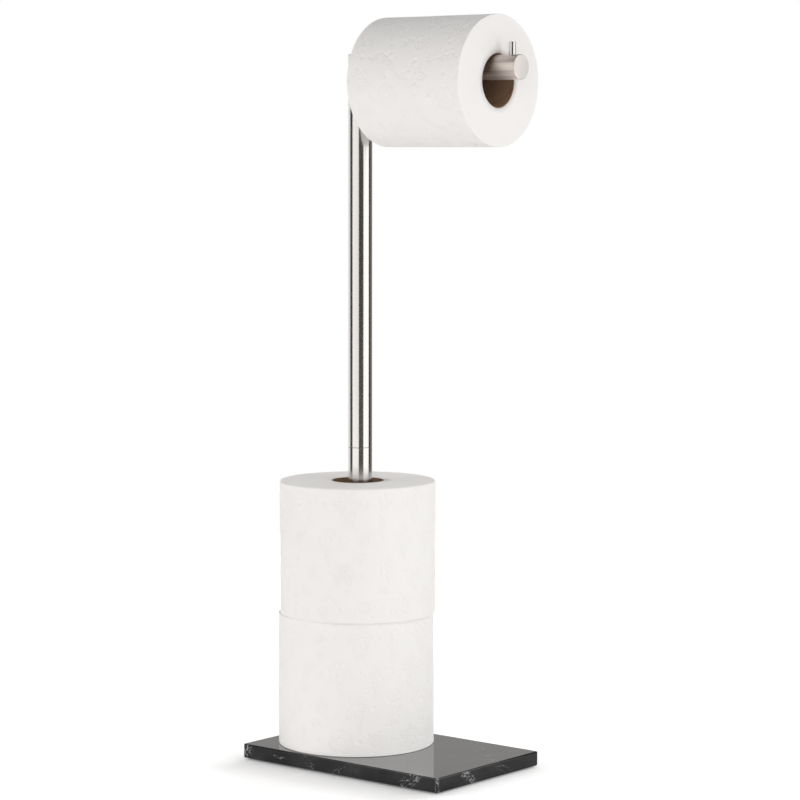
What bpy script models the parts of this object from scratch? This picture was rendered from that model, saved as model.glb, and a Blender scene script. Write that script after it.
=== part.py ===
"""A freestanding toilet paper holder with a stone base, a two-part steel post and a roll arm.

Units are metres and +Z is up. The floor is z = 0, and the origin is the bottom centre of the
whole object's box. The arm points along +X, which is called the front, and +Y is the left.
The post's upper half lifts off a D-shaped spigot with the arm, so that two spare rolls can be
put round the lower half. A third roll hangs by its core on the arm, behind the stop pin.
"""

import math

import bmesh
import bpy
from mathutils import Matrix, Vector

# The gap between two pieces that touch on the real object, and how far a cutter overruns.
CLEARANCE = 0.0003
OVERRUN = 0.002

# Facets round a roll, a tube or plug, and a screw, pin or foot, and along a rounded rim.
ROLL_SEGMENTS = 80
TUBE_SEGMENTS = 56
SMALL_SEGMENTS = 28
RIM_SEGMENTS = 3
HEX_SIDES = 6
SMOOTH_ANGLE = math.radians(35)

# The base slab and its four rubber feet.
SLAB_LENGTH = 0.188
SLAB_WIDTH = 0.121
SLAB_THICKNESS = 0.011
SLAB_EDGE = 0.0006
FOOT_DIAMETER = 0.016
FOOT_PROTRUSION = 0.0012
FOOT_RECESS = 0.0008
FOOT_INSET = 0.007

# The post and the arm are cut from one round tube.
TUBE_DIAMETER = 0.018
TUBE_WALL = 0.001
TUBE_END_CHAMFER = 0.0006
POST_FROM_SLAB_END = 0.0646
SEAM_ABOVE_SPARES = 0.0251
ARM_ABOVE_SEAM = 0.2821
POST_TOP_ABOVE_ARM = 0.003

# The screw that pulls the post down onto the slab, with its washer and gasket.
SCREW_DIAMETER = 0.006
SCREW_HEAD_DIAMETER = 0.0105
SCREW_HEAD_HEIGHT = 0.003
SCREW_SOCKET_ACROSS = 0.004
SCREW_SOCKET_DEPTH = 0.0018
SCREW_ENGAGEMENT = 0.012
WASHER_DIAMETER = 0.018
WASHER_THICKNESS = 0.0012
COUNTERBORE_DEPTH = 0.006
COUNTERBORE_SIDE_GAP = 0.001
GASKET_THICKNESS = 0.0006
FOOT_PLUG_LENGTH = 0.02

# The D-shaped spigot on the lower tube, and the socket that drops over it.
SPIGOT_ROOT_LENGTH = 0.025
SPIGOT_LENGTH = 0.04
SPIGOT_DIAMETER = 0.012
SPIGOT_FLAT_SHARE = 0.72
SPIGOT_CHAMFER = 0.001
SOCKET_PAST_SPIGOT = 0.004

# The plug that closes the post, and the stud and plug that hold the arm against it.
TOP_DISC_THICKNESS = 0.002
TOP_PLUG_BELOW_ARM = 0.009
STUD_DIAMETER = 0.006
STUD_IN_POST = 0.005
STUD_IN_ARM = 0.014
ARM_PLUG_LENGTH = 0.018
ARM_PLUG_SETBACK = 0.001

# The arm's solid nose, and the pin that stops the roll.
NOSE_LENGTH = 0.02
PIN_DIAMETER = 0.005
PIN_HEIGHT = 0.009
PIN_DEPTH = 0.007
PIN_CHAMFER = 0.0004
PIN_FROM_TIP = 0.0082

# The rolls, each wound on a cardboard core.
ROLL_LENGTH = 0.1
CORE_BORE = 0.0375
CORE_WALL = 0.0008
SPARE_DIAMETER = 0.1176
TOP_ROLL_DIAMETER = 0.0952
PAPER_RIM = 0.0012
ROLL_TO_POST = 0.02
ROLL_TO_PIN = 0.0103
# Where the spares stand off the post's axis, as shares of the play between core and post.
LOWER_SPARE_SHARES = (-0.46, 0.08)
UPPER_SPARE_SHARES = (-0.2, -0.05)

# Radii that follow.
TUBE_RADIUS = TUBE_DIAMETER / 2
TUBE_INSIDE = TUBE_RADIUS - TUBE_WALL
PLUG_RADIUS = TUBE_INSIDE - CLEARANCE
SPIGOT_RADIUS = SPIGOT_DIAMETER / 2
SPIGOT_FLAT = SPIGOT_RADIUS * SPIGOT_FLAT_SHARE
STUD_HOLE = STUD_DIAMETER / 2 + CLEARANCE
SCREW_HOLE = SCREW_DIAMETER / 2 + CLEARANCE
CORE_RADIUS = CORE_BORE / 2
CORE_OUTSIDE = CORE_RADIUS + CORE_WALL
PAPER_INSIDE = CORE_OUTSIDE + CLEARANCE

# Places along X. The arm's reach is counted from the post's axis.
PIN_REACH = TUBE_RADIUS + ROLL_TO_POST + ROLL_LENGTH + ROLL_TO_PIN + PIN_DIAMETER / 2
ARM_REACH = PIN_REACH + PIN_FROM_TIP
SLAB_REAR = -max(SLAB_LENGTH, POST_FROM_SLAB_END + ARM_REACH) / 2
SLAB_X = SLAB_REAR + SLAB_LENGTH / 2
POST_X = SLAB_REAR + POST_FROM_SLAB_END
PIN_X = POST_X + PIN_REACH
TOP_ROLL_X = POST_X + TUBE_RADIUS + ROLL_TO_POST + ROLL_LENGTH / 2

# Heights, from the floor up.
SLAB_TOP = FOOT_PROTRUSION + SLAB_THICKNESS
GASKET_BOTTOM = SLAB_TOP + CLEARANCE
POST_BOTTOM = GASKET_BOTTOM + GASKET_THICKNESS + CLEARANCE
LOWER_SPARE_BOTTOM = SLAB_TOP + CLEARANCE
UPPER_SPARE_BOTTOM = LOWER_SPARE_BOTTOM + ROLL_LENGTH + CLEARANCE
SEAM_Z = UPPER_SPARE_BOTTOM + ROLL_LENGTH + SEAM_ABOVE_SPARES
UPPER_POST_BOTTOM = SEAM_Z + CLEARANCE
ARM_Z = SEAM_Z + ARM_ABOVE_SEAM
POST_TOP = ARM_Z + TUBE_RADIUS + POST_TOP_ABOVE_ARM
TOP_ROLL_Z = ARM_Z + TUBE_RADIUS + CLEARANCE - CORE_RADIUS

# The screw's washer and head hang below the counterbore's roof.
COUNTERBORE_ROOF = FOOT_PROTRUSION + COUNTERBORE_DEPTH
WASHER_BOTTOM = COUNTERBORE_ROOF - CLEARANCE - WASHER_THICKNESS
SCREW_HEAD_TOP = WASHER_BOTTOM - CLEARANCE
SCREW_TIP = POST_BOTTOM + SCREW_ENGAGEMENT

# A turned piece is made round +Z, and this lays its axis along +X.
UPRIGHT = Matrix.Identity(4)
ALONG_X = Matrix.Rotation(math.radians(90), 4, "Y")

# Name, colour, roughness and metallic value of each finish.
STONE = ("black_marble", (0.022, 0.022, 0.024), 0.15, 0.0)
STEEL = ("brushed_steel", (0.62, 0.6, 0.58), 0.3, 1.0)
ZINC = ("zinc_plated_steel", (0.55, 0.56, 0.58), 0.35, 1.0)
RUBBER = ("black_rubber", (0.03, 0.03, 0.03), 0.85, 0.0)
TISSUE = ("tissue_paper", (0.87, 0.86, 0.84), 0.9, 0.0)
CARDBOARD = ("core_cardboard", (0.3, 0.21, 0.14), 0.9, 0.0)


def clear_scene():
    """Removes whatever the file holds."""
    for obj in list(bpy.data.objects):
        bpy.data.objects.remove(obj, do_unlink=True)


def material_of(finish):
    """The material of a finish, made the first time that it is asked for."""
    name, colour, roughness, metallic = finish
    material = bpy.data.materials.get(name)
    if material:
        return material
    material = bpy.data.materials.new(name)
    material.use_nodes = True
    shader = material.node_tree.nodes["Principled BSDF"]
    shader.inputs["Base Color"].default_value = (*colour, 1)
    shader.inputs["Roughness"].default_value = roughness
    shader.inputs["Metallic"].default_value = metallic
    return material


def world_place(obj):
    """Where an object's origin is, its parents' places added."""
    if obj is None:
        return Vector((0, 0, 0))
    return obj.location + world_place(obj.parent)


def add_object(name, shape, location, parent=None):
    """Turns a bmesh into a named object, with its origin at a place in the world."""
    mesh = bpy.data.meshes.new(name)
    shape.to_mesh(mesh)
    shape.free()
    mesh.shade_smooth()
    mesh.set_sharp_from_angle(angle=SMOOTH_ANGLE)
    obj = bpy.data.objects.new(name, mesh)
    bpy.context.scene.collection.objects.link(obj)
    obj.parent = parent
    obj.location = Vector(location) - world_place(parent)
    return obj


def add_piece(name, shape, finish, location, parent=None):
    """A sub-part: an object with its finish."""
    piece = add_object(name, shape, location, parent)
    piece.data.materials.append(material_of(finish))
    return piece


def add_axis(name, location):
    """An empty on a moving group's joint axis, which carries the group's pieces."""
    axis = bpy.data.objects.new(name, None)
    bpy.context.scene.collection.objects.link(axis)
    axis.location = location
    return axis


def combine(piece, shape, location, operation="DIFFERENCE"):
    """Cuts a shape, at a place in the world, out of a piece, or joins it on with UNION."""
    helper = add_object(f"{piece.name}_helper", shape, location, piece)
    helper.hide_render = True
    helper.display_type = "WIRE"
    modifier = piece.modifiers.new(operation.title(), "BOOLEAN")
    modifier.operation = operation
    modifier.solver = "EXACT"
    modifier.object = helper


def turned(profile, segments, turn=UPRIGHT):
    """A solid turned from (radius, height) corners, which run round its section.

    A section that starts and ends on the axis makes a solid piece, and any other a ring.
    """
    shape = bmesh.new()
    corners = [shape.verts.new((radius, 0, height)) for radius, height in profile]
    edges = [shape.edges.new(pair) for pair in zip(corners, corners[1:])]
    if profile[0][0] > 0:
        edges.append(shape.edges.new((corners[-1], corners[0])))
    bmesh.ops.spin(
        shape,
        geom=corners + edges,
        cent=(0, 0, 0),
        axis=(0, 0, 1),
        angle=math.tau,
        steps=segments,
        use_merge=True,
    )
    bmesh.ops.remove_doubles(shape, verts=shape.verts, dist=CLEARANCE / 100)
    bmesh.ops.recalc_face_normals(shape, faces=shape.faces)
    bmesh.ops.transform(shape, matrix=turn, verts=shape.verts)
    return shape


def rod(radius, length, segments, turn=UPRIGHT, chamfer=0):
    """A round bar that starts at height 0, with its far end chamfered or left square."""
    rim = [(radius, length)]
    if chamfer:
        rim = [(radius - chamfer, length), (radius, length - chamfer)]
    return turned([(0, length), *rim, (radius, 0), (0, 0)], segments, turn)


def ring(inside, outside, length, segments, turn=UPRIGHT):
    """A plain tube that starts at height 0."""
    return turned([(inside, 0), (inside, length), (outside, length), (outside, 0)], segments, turn)


def d_bar(radius, flat, length, segments, chamfer=0):
    """A round bar with one flat along its rear side."""
    shape = rod(radius, length, segments, chamfer=chamfer)
    cut = bmesh.ops.bisect_plane(
        shape,
        geom=[*shape.verts, *shape.edges, *shape.faces],
        plane_co=(-flat, 0, 0),
        plane_no=(-1, 0, 0),
        clear_outer=True,
    )
    rim = [part for part in cut["geom_cut"] if isinstance(part, bmesh.types.BMEdge)]
    bmesh.ops.edgenet_fill(shape, edges=rim)
    bmesh.ops.recalc_face_normals(shape, faces=shape.faces)
    return shape


def foot_places():
    """Each foot's name and its centre on the floor."""
    reach_x = SLAB_LENGTH / 2 - FOOT_INSET - FOOT_DIAMETER / 2
    reach_y = SLAB_WIDTH / 2 - FOOT_INSET - FOOT_DIAMETER / 2
    for end, sign_x in (("rear", -1), ("front", 1)):
        for side, sign_y in (("right", -1), ("left", 1)):
            yield f"foot_{end}_{side}", (SLAB_X + sign_x * reach_x, sign_y * reach_y, 0)


def make_slab():
    """The polished slab, with eased edges, the screw's stepped hole and the feet's recesses."""
    shape = bmesh.new()
    bmesh.ops.create_cube(shape, size=1)
    bmesh.ops.scale(shape, vec=(SLAB_LENGTH, SLAB_WIDTH, SLAB_THICKNESS), verts=shape.verts)
    bmesh.ops.bevel(
        shape, geom=shape.edges, offset=SLAB_EDGE, affect="EDGES", segments=2, profile=0.5, material=-1
    )
    slab = add_piece("base_slab", shape, STONE, (SLAB_X, 0, FOOT_PROTRUSION + SLAB_THICKNESS / 2))
    counterbore = WASHER_DIAMETER / 2 + COUNTERBORE_SIDE_GAP
    stepped = turned(
        [
            (0, SLAB_THICKNESS + OVERRUN),
            (SCREW_HOLE, SLAB_THICKNESS + OVERRUN),
            (SCREW_HOLE, COUNTERBORE_DEPTH),
            (counterbore, COUNTERBORE_DEPTH),
            (counterbore, -OVERRUN),
            (0, -OVERRUN),
        ],
        TUBE_SEGMENTS,
    )
    combine(slab, stepped, (POST_X, 0, FOOT_PROTRUSION))
    for _, (x, y, _) in foot_places():
        recess = rod(FOOT_DIAMETER / 2 + CLEARANCE, FOOT_RECESS + OVERRUN, SMALL_SEGMENTS)
        combine(slab, recess, (x, y, FOOT_PROTRUSION - OVERRUN))


def make_feet():
    """Four round pads, each set into its recess."""
    height = FOOT_PROTRUSION + FOOT_RECESS - CLEARANCE
    for name, place in foot_places():
        add_piece(name, rod(FOOT_DIAMETER / 2, height, SMALL_SEGMENTS), RUBBER, place)


def make_base_screw():
    """A socket-head screw up through the slab, its washer, and the gasket under the post."""
    shank = SCREW_DIAMETER / 2
    head = SCREW_HEAD_DIAMETER / 2
    length = SCREW_TIP - SCREW_HEAD_TOP
    under = -SCREW_HEAD_HEIGHT
    profile = [(0, length), (shank, length), (shank, 0), (head, 0), (head, under), (0, under)]
    shape = turned(profile, SMALL_SEGMENTS)
    screw = add_piece("base_screw", shape, ZINC, (POST_X, 0, SCREW_HEAD_TOP))
    socket_corner = SCREW_SOCKET_ACROSS / 2 / math.cos(math.pi / HEX_SIDES)
    socket = rod(socket_corner, SCREW_SOCKET_DEPTH + OVERRUN, HEX_SIDES)
    combine(screw, socket, (POST_X, 0, SCREW_HEAD_TOP + under - OVERRUN))
    washer = ring(SCREW_HOLE, WASHER_DIAMETER / 2, WASHER_THICKNESS, SMALL_SEGMENTS)
    add_piece("base_washer", washer, ZINC, (POST_X, 0, WASHER_BOTTOM))
    gasket = ring(SCREW_HOLE, TUBE_RADIUS, GASKET_THICKNESS, TUBE_SEGMENTS)
    add_piece("post_gasket", gasket, RUBBER, (POST_X, 0, GASKET_BOTTOM))


def make_lower_post():
    """The lower tube, the plug that takes the base screw, and the spigot at the seam."""
    foot = (POST_X, 0, POST_BOTTOM)
    tube = ring(TUBE_INSIDE, TUBE_RADIUS, SEAM_Z - POST_BOTTOM, TUBE_SEGMENTS)
    add_piece("lower_post_tube", tube, STEEL, foot)
    thread_depth = SCREW_ENGAGEMENT + OVERRUN
    plug = turned(
        [
            (0, FOOT_PLUG_LENGTH),
            (PLUG_RADIUS, FOOT_PLUG_LENGTH),
            (PLUG_RADIUS, 0),
            (SCREW_HOLE, 0),
            (SCREW_HOLE, thread_depth),
            (0, thread_depth),
        ],
        TUBE_SEGMENTS,
    )
    add_piece("post_foot_plug", plug, ZINC, foot)
    root = rod(PLUG_RADIUS, SPIGOT_ROOT_LENGTH, TUBE_SEGMENTS)
    spigot = add_piece("post_spigot", root, ZINC, (POST_X, 0, SEAM_Z - SPIGOT_ROOT_LENGTH))
    in_root = SPIGOT_ROOT_LENGTH / 2
    bar = d_bar(SPIGOT_RADIUS, SPIGOT_FLAT, in_root + SPIGOT_LENGTH, SMALL_SEGMENTS, SPIGOT_CHAMFER)
    combine(spigot, bar, (POST_X, 0, SEAM_Z - in_root), "UNION")


def make_upper_post(group):
    """The upper tube, the socket that drops over the spigot, and the plug that closes the top."""
    disc_bottom = POST_TOP - TOP_DISC_THICKNESS
    foot = (POST_X, 0, UPPER_POST_BOTTOM)
    shape = ring(TUBE_INSIDE, TUBE_RADIUS, disc_bottom - CLEARANCE - UPPER_POST_BOTTOM, TUBE_SEGMENTS)
    tube = add_piece("upper_post_tube", shape, STEEL, foot, group)
    stud_way = rod(STUD_HOLE, TUBE_RADIUS + OVERRUN, SMALL_SEGMENTS, ALONG_X)
    combine(tube, stud_way, (POST_X, 0, ARM_Z))

    socket_length = SPIGOT_LENGTH + SOCKET_PAST_SPIGOT
    socket = add_piece("post_socket", rod(PLUG_RADIUS, socket_length, TUBE_SEGMENTS), ZINC, foot, group)
    bore_length = socket_length + 2 * OVERRUN
    bore = d_bar(SPIGOT_RADIUS + CLEARANCE, SPIGOT_FLAT + CLEARANCE, bore_length, SMALL_SEGMENTS)
    combine(socket, bore, (POST_X, 0, UPPER_POST_BOTTOM - OVERRUN))

    plug_bottom = ARM_Z - TOP_PLUG_BELOW_ARM
    top = POST_TOP - plug_bottom
    under_disc = disc_bottom - plug_bottom
    shape = turned(
        [
            (0, top),
            (TUBE_RADIUS - TUBE_END_CHAMFER, top),
            (TUBE_RADIUS, top - TUBE_END_CHAMFER),
            (TUBE_RADIUS, under_disc),
            (PLUG_RADIUS, under_disc),
            (PLUG_RADIUS, 0),
            (0, 0),
        ],
        TUBE_SEGMENTS,
    )
    plug = add_piece("post_top_plug", shape, STEEL, (POST_X, 0, plug_bottom), group)
    hole_start = STUD_IN_POST + CLEARANCE
    stud_hole = rod(STUD_HOLE, hole_start + TUBE_RADIUS, SMALL_SEGMENTS, ALONG_X)
    combine(plug, stud_hole, (POST_X - hole_start, 0, ARM_Z))


def make_arm(group):
    """The arm, coped round the post, the stud and plug that hold it, and its stop pin."""
    nose_start = ARM_REACH - NOSE_LENGTH
    shape = turned(
        [
            (0, ARM_REACH),
            (TUBE_RADIUS - TUBE_END_CHAMFER, ARM_REACH),
            (TUBE_RADIUS, ARM_REACH - TUBE_END_CHAMFER),
            (TUBE_RADIUS, 0),
            (TUBE_INSIDE, 0),
            (TUBE_INSIDE, nose_start),
            (0, nose_start),
        ],
        TUBE_SEGMENTS,
        ALONG_X,
    )
    arm = add_piece("roll_arm", shape, STEEL, (POST_X, 0, ARM_Z), group)
    cope_length = TUBE_DIAMETER + 2 * OVERRUN
    cope = rod(TUBE_RADIUS + CLEARANCE, cope_length, TUBE_SEGMENTS)
    combine(arm, cope, (POST_X, 0, ARM_Z - cope_length / 2))
    pin_bottom = ARM_Z + TUBE_RADIUS - PIN_DEPTH
    pin_hole = rod(PIN_DIAMETER / 2 + CLEARANCE, PIN_DEPTH + CLEARANCE + OVERRUN, SMALL_SEGMENTS)
    combine(arm, pin_hole, (PIN_X, 0, pin_bottom - CLEARANCE))

    pin = rod(PIN_DIAMETER / 2, PIN_DEPTH + PIN_HEIGHT, SMALL_SEGMENTS, chamfer=PIN_CHAMFER)
    add_piece("stop_pin", pin, STEEL, (PIN_X, 0, pin_bottom), group)
    plug_reach = TUBE_RADIUS + CLEARANCE + ARM_PLUG_SETBACK
    plug = ring(STUD_HOLE, PLUG_RADIUS, ARM_PLUG_LENGTH, TUBE_SEGMENTS, ALONG_X)
    add_piece("arm_rear_plug", plug, ZINC, (POST_X + plug_reach, 0, ARM_Z), group)
    stud = rod(STUD_DIAMETER / 2, STUD_IN_POST + plug_reach + STUD_IN_ARM, SMALL_SEGMENTS, ALONG_X)
    add_piece("arm_stud", stud, ZINC, (POST_X - STUD_IN_POST, 0, ARM_Z), group)


def paper_profile(radius):
    """The wound paper's section, with its two outer rims rounded over."""
    profile = [(PAPER_INSIDE, 0), (PAPER_INSIDE, ROLL_LENGTH)]
    for rim_height, start in ((ROLL_LENGTH - PAPER_RIM, 90), (PAPER_RIM, 0)):
        for i in range(RIM_SEGMENTS + 1):
            angle = math.radians(start - 90 * i / RIM_SEGMENTS)
            reach = radius - PAPER_RIM + PAPER_RIM * math.cos(angle)
            profile.append((reach, rim_height + PAPER_RIM * math.sin(angle)))
    return profile


def make_roll(name, diameter, end, group, turn=UPRIGHT):
    """A roll, from the centre of its lower or rear end: its core, and the paper on it."""
    core = ring(CORE_RADIUS, CORE_OUTSIDE, ROLL_LENGTH, ROLL_SEGMENTS, turn)
    add_piece(f"{name}_core", core, CARDBOARD, end, group)
    paper = turned(paper_profile(diameter / 2), ROLL_SEGMENTS, turn)
    add_piece(f"{name}_paper", paper, TISSUE, end, group)


def make_spares():
    """The two spare rolls, which stand round the lower post a little off its axis."""
    play = CORE_RADIUS - TUBE_RADIUS
    spares = (
        ("lower_spare", LOWER_SPARE_BOTTOM, LOWER_SPARE_SHARES),
        ("upper_spare", UPPER_SPARE_BOTTOM, UPPER_SPARE_SHARES),
    )
    for name, bottom, (share_x, share_y) in spares:
        end = (POST_X + share_x * play, share_y * play, bottom)
        make_roll(f"{name}_roll", SPARE_DIAMETER, end, add_axis(name, end))


def main():
    clear_scene()
    make_slab()
    make_feet()
    make_base_screw()
    make_lower_post()
    upper_post = add_axis("upper_post", (POST_X, 0, SEAM_Z))
    make_upper_post(upper_post)
    make_arm(upper_post)
    make_spares()
    top_roll = add_axis("top_roll", (TOP_ROLL_X, 0, TOP_ROLL_Z))
    rear_end = (TOP_ROLL_X - ROLL_LENGTH / 2, 0, TOP_ROLL_Z)
    make_roll("top_roll", TOP_ROLL_DIAMETER, rear_end, top_roll, ALONG_X)


main()
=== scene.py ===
# %% [markdown]
# # A freestanding toilet paper holder
# The frame brings the engineered solids of the holder: a stone slab, a steel post in two halves,
# a level arm with a stop pin, and three rolls. This lesson dresses them. Every visible piece is
# modelled again with finer edges, and every surface gets a procedural finish.

# %% Load the frame
import math
import bmesh
import bpy
import numpy as np
from mathutils import Matrix, Vector


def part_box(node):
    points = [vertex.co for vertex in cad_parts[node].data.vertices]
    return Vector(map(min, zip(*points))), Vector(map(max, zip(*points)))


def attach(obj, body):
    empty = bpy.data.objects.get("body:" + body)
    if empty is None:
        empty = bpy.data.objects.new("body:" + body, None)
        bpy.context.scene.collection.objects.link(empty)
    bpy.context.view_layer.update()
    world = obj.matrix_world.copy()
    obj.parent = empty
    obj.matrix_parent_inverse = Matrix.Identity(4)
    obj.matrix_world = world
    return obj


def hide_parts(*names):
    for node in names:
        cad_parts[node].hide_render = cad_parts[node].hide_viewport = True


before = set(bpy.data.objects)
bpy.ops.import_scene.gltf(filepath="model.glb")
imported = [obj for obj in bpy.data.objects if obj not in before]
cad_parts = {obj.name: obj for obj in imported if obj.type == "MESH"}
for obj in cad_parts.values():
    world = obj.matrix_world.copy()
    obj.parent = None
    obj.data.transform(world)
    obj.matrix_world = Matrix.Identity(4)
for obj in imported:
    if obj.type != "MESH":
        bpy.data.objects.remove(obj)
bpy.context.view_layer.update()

# %% [markdown]
# ## The camera
# It stands to the front and right of the holder, a little under the height of the hanging roll,
# and looks slightly down. A long lens keeps the post upright and the rolls nearly parallel.
# Its place and angles are plain values, because they were fitted once to the object's edges.

# %% Camera
CAMERA_PLACE = (1.3212, -1.6139, 0.4613)
CAMERA_TURN = 39.397
CAMERA_LOOKS_DOWN = 5.080
CAMERA_LEANS = -0.092
LENS_MM = 126.81
SENSOR_MM = 36.0



def new_object(name, data):
    """Makes an object of its data, and puts it in the scene."""
    made = bpy.data.objects.new(name, data)
    bpy.context.scene.collection.objects.link(made)
    return made


camera_data = bpy.data.cameras.new("Camera")
camera_data.sensor_width = SENSOR_MM
camera_data.lens = LENS_MM
camera = new_object("Camera", camera_data)
camera.location = CAMERA_PLACE
camera_angles = (90 - CAMERA_LOOKS_DOWN, CAMERA_LEANS, CAMERA_TURN)
camera.rotation_euler = [math.radians(angle) for angle in camera_angles]
bpy.context.scene.camera = camera
print("camera", CAMERA_PLACE, "lens", LENS_MM, "mm")

# %% [markdown]
# ## Helpers for nodes
# A material is a small tree of nodes. Writing out each node and each link takes many lines, so
# one helper adds a node, sets its options and fills its inputs, with a value or with the socket
# of another node. Others are shorter names for the nodes that come back most, and return the
# socket that the next node reads.

# %% Node helpers
def add(tree, kind, inputs=None, **options):
    """Adds a node, sets its options, and fills inputs with values or with other nodes' sockets."""
    node = tree.nodes.new(kind)
    for name, value in options.items():
        setattr(node, name, value)
    for key, value in (inputs or {}).items():
        if isinstance(value, bpy.types.NodeSocket):
            tree.links.new(value, node.inputs[key])
        else:
            node.inputs[key].default_value = value
    return node


def calculate(tree, operation, *values, **options):
    """Adds a Math node, and returns its value."""
    node = add(tree, "ShaderNodeMath", dict(enumerate(values)), operation=operation, **options)
    return node.outputs[0]


def calculate_vector(tree, operation, *values):
    """Adds a Vector Math node, and returns its vector, or its length."""
    node = add(tree, "ShaderNodeVectorMath", dict(enumerate(values)), operation=operation)
    return node.outputs["Value" if operation == "LENGTH" else "Vector"]


def remap(tree, value, low=0.0, high=1.0, to_low=0.0, to_high=1.0, smooth=False):
    """Adds a Map Range node, and returns its result."""
    limits = {"Value": value, "From Min": low, "From Max": high, "To Min": to_low, "To Max": to_high}
    way = "SMOOTHSTEP" if smooth else "LINEAR"
    return add(tree, "ShaderNodeMapRange", limits, interpolation_type=way).outputs[0]


def mix_colours(tree, factor, first, second, blend="MIX"):
    """Adds a Mix node for two colours, and returns the colour."""
    colours = {"Factor": factor, 6: first, 7: second}
    return add(tree, "ShaderNodeMix", colours, data_type="RGBA", blend_type=blend).outputs[2]


def mix_values(tree, factor, first, second):
    """Adds a Mix node for two values, and returns the value."""
    values = {"Factor": factor, 2: first, 3: second}
    return add(tree, "ShaderNodeMix", values, data_type="FLOAT").outputs[0]


def add_noise(tree, where, scale, detail=2.0):
    """Adds a Noise Texture, and returns its outputs."""
    return add(tree, "ShaderNodeTexNoise", {"Vector": where, "Scale": scale, "Detail": detail}).outputs


def object_place(tree):
    """Object coordinates, in which a pattern is as large as it is on the real piece."""
    return add(tree, "ShaderNodeTexCoord").outputs["Object"]


def use_group(tree, group, **inputs):
    """Places a shared effect with its own values, and returns what it puts out."""
    return add(tree, "ShaderNodeGroup", inputs, node_tree=group).outputs[0]


print("helpers for nodes ready")

# %% [markdown]
# ## Helpers for groups and materials
# A node group's sockets are made on its interface, each with a kind and a value to start from. A
# material starts with one Principled shader, whose constants are set on the shader itself.

# %% Group and material helpers
FLOAT = "NodeSocketFloat"
VECTOR = "NodeSocketVector"


def start_group(name, inputs, output):
    """Starts a node group, and returns it with its given sockets and the socket it puts out."""
    group = bpy.data.node_groups.new(name, "ShaderNodeTree")
    for socket, (kind, value) in inputs.items():
        made = group.interface.new_socket(socket, in_out="INPUT", socket_type=kind)
        made.default_value = value
    group.interface.new_socket(output, in_out="OUTPUT", socket_type=FLOAT)
    given = group.nodes.new("NodeGroupInput")
    result = group.nodes.new("NodeGroupOutput")
    return group, given.outputs, result.inputs[output]


def start_material(name, **constants):
    """Starts a material with one Principled shader, whose constant values are given by name."""
    material = bpy.data.materials.new(name)
    material.use_nodes = True
    tree = material.node_tree
    shader = tree.nodes["Principled BSDF"]
    for key, value in constants.items():
        shader.inputs[key.replace("_", " ")].default_value = value
    return material, tree, shader


def add_bump(tree, shader, height, strength, distance):
    """Bends a shader's normals by a height."""
    relief = {"Height": height, "Strength": strength, "Distance": distance}
    bump = add(tree, "ShaderNodeBump", relief)
    tree.links.new(bump.outputs[0], shader.inputs["Normal"])


print("helpers for groups and materials ready")

# %% [markdown]
# ## Shared effects
# Some effects come back on several finishes, each time with other values, so each is a node group.
# *Soft mottling* is slow, cloudy variation that keeps any surface from looking even.
# *Stretched grain* is a noise pulled out along two directions, which gives brushing on metal,
# creping on paper and fibres on cardboard, by the scale that is given for each axis.
# *Stone veins* is a small net of wandering mineral veins, bounded to the patch where it shows.

# %% Soft mottling
def make_soft_mottling():
    """Cloudy variation from 0 to 1 on object coordinates."""
    inputs = {"Vector": (VECTOR, (0, 0, 0)), "Scale": (FLOAT, 20.0), "Contrast": (FLOAT, 1.0)}
    group, given, result = start_group("Soft mottling", inputs, "Value")
    noise = add_noise(group, given["Vector"], given["Scale"], 4.0)
    centred = calculate(group, "SUBTRACT", noise["Fac"], 0.5)
    clouds = calculate(group, "MULTIPLY_ADD", centred, given["Contrast"], 0.5, use_clamp=True)
    group.links.new(clouds, result)
    return group


SOFT_MOTTLING = make_soft_mottling()
print("made", SOFT_MOTTLING.name)

# %% Stretched grain
def make_stretched_grain():
    """Fine lines from 0 to 1, as long or short along each axis as the given scales make them."""
    inputs = {"Vector": (VECTOR, (0, 0, 0)), "Scales": (VECTOR, (100, 100, 100)), "Detail": (FLOAT, 2.0)}
    group, given, result = start_group("Stretched grain", inputs, "Value")
    stretched = calculate_vector(group, "MULTIPLY", given["Vector"], given["Scales"])
    noise = add_noise(group, stretched, 1.0, given["Detail"])
    group.links.new(noise["Fac"], result)
    return group


STRETCHED_GRAIN = make_stretched_grain()
print("made", STRETCHED_GRAIN.name)

# %% Stone veins
VEIN_BEND_SCALE = 260.0
VEIN_BREAK_SCALE = 520.0


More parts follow.
